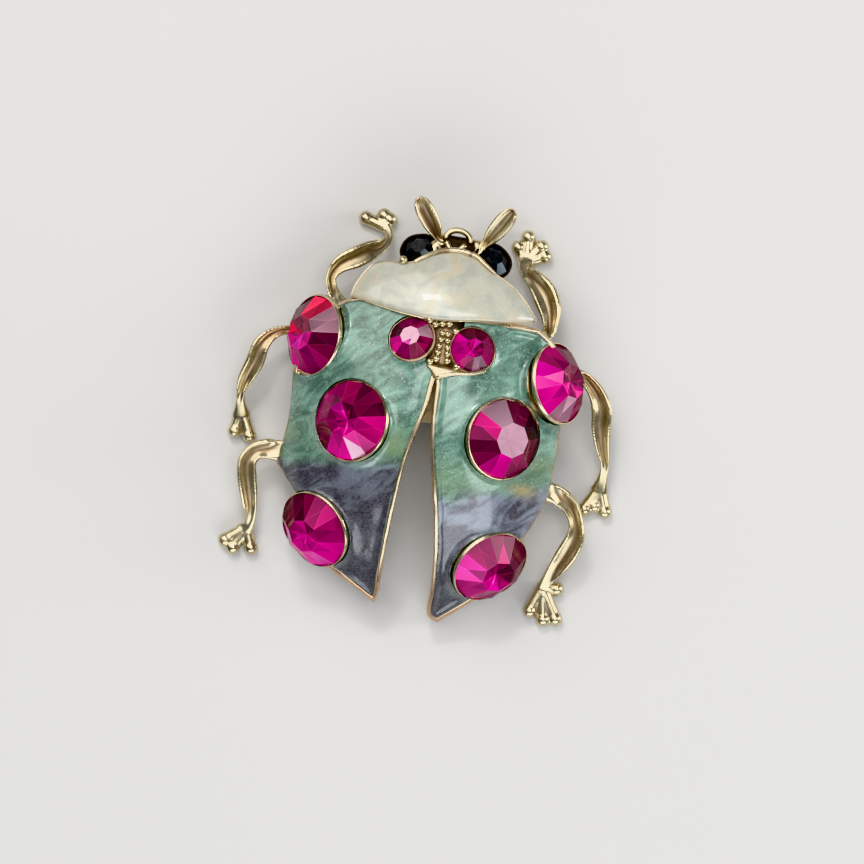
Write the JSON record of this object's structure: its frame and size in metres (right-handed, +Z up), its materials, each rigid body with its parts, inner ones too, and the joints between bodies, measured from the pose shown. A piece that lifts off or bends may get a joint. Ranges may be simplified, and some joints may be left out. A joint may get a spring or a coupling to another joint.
{
  "type": "insect brooch",
  "caption": "Beetle-shaped gold-plated brooch with parted enamel wings, a pale shield behind the head, cut magenta stones in bezels, curved legs and a pin across the back.",
  "frame": {"origin": "centre of the bounding box in plan, on the surface that the brooch lies on", "axes": "+Y towards the head, +X towards the wing on the right when seen from above with the head up, +Z up out of the back it is pinned by"},
  "size_m": [0.0395, 0.042, 0.0135],
  "materials": {
    "gold_cast": "polished pale gold plating with darker hollows",
    "enamel_green": "glossy pearl enamel, sea green in front and blue grey behind",
    "enamel_white": "glossy pearl white enamel",
    "stone_magenta": "cut and foil-backed",
    "stone_black": "cut, black",
    "pin_metal": "satin plating"
  },
  "bodies": {
    "root": {"casting": "gold_cast", "enamel_wing_left": "enamel_green", "enamel_wing_right": "enamel_green", "enamel_pronotum": "enamel_white", "stone_upper_left": "stone_magenta", "stone_upper_right": "stone_magenta", "stone_mid_left": "stone_magenta", "stone_mid_right": "stone_magenta", "stone_lower_left": "stone_magenta", "stone_lower_right": "stone_magenta", "stone_small_left": "stone_magenta", "stone_small_right": "stone_magenta", "eye_left": "stone_black", "eye_right": "stone_black", "pin_back": "pin_metal"}
  },
  "joints": []
}
